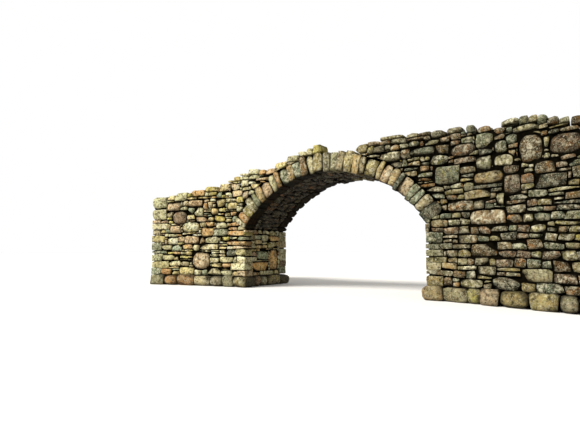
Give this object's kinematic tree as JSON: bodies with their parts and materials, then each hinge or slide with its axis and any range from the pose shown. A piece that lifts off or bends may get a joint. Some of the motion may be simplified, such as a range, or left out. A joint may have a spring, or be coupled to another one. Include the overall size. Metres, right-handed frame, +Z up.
{
  "type": "packhorse bridge",
  "caption": "Dry-stone packhorse bridge: one segmental arch of thin upright voussoirs between splayed rubble wing walls, carrying a narrow stone-pitched path with low kerbs.",
  "frame": {"origin": "on the ground, below the middle of the arch and midway between the two faces", "axes": "+X along the bridge towards its high end, -Y the downstream face, +Z up"},
  "size_m": [11.2, 3.5304, 3.63],
  "materials": {
    "voussoir_stone": "rough, weathered",
    "barrel_stone": "rough, weathered",
    "rubble_stone": "rough, weathered",
    "footing_stone": "rough, weathered",
    "kerb_stone": "rough, weathered",
    "pitching_stone": "rough, weathered",
    "hearting_stone": "rough, weathered"
  },
  "bodies": {
    "root": {"front_voussoirs": "voussoir_stone", "back_voussoirs": "voussoir_stone", "barrel_left_haunch": "barrel_stone", "barrel_crown": "barrel_stone", "barrel_right_haunch": "barrel_stone", "left_abutment": "rubble_stone", "right_abutment": "rubble_stone", "left_end_wall": "rubble_stone", "right_end_wall": "rubble_stone", "front_left_spandrel_wall": "rubble_stone", "front_left_wing_wall": "rubble_stone", "front_right_spandrel_wall": "rubble_stone", "front_right_wing_wall": "rubble_stone", "back_left_spandrel_wall": "rubble_stone", "back_left_wing_wall": "rubble_stone", "back_right_spandrel_wall": "rubble_stone", "back_right_wing_wall": "rubble_stone", "left_footing": "footing_stone", "right_footing": "footing_stone", "front_left_kerb": "kerb_stone", "front_right_kerb": "kerb_stone", "back_left_kerb": "kerb_stone", "back_right_kerb": "kerb_stone", "left_ramp_pitching": "pitching_stone", "left_haunch_pitching": "pitching_stone", "crown_pitching": "pitching_stone", "right_haunch_pitching": "pitching_stone", "right_ramp_pitching": "pitching_stone", "left_rubble_core": "hearting_stone", "right_rubble_core": "hearting_stone", "left_haunch_fill": "hearting_stone", "right_haunch_fill": "hearting_stone"}
  },
  "joints": []
}
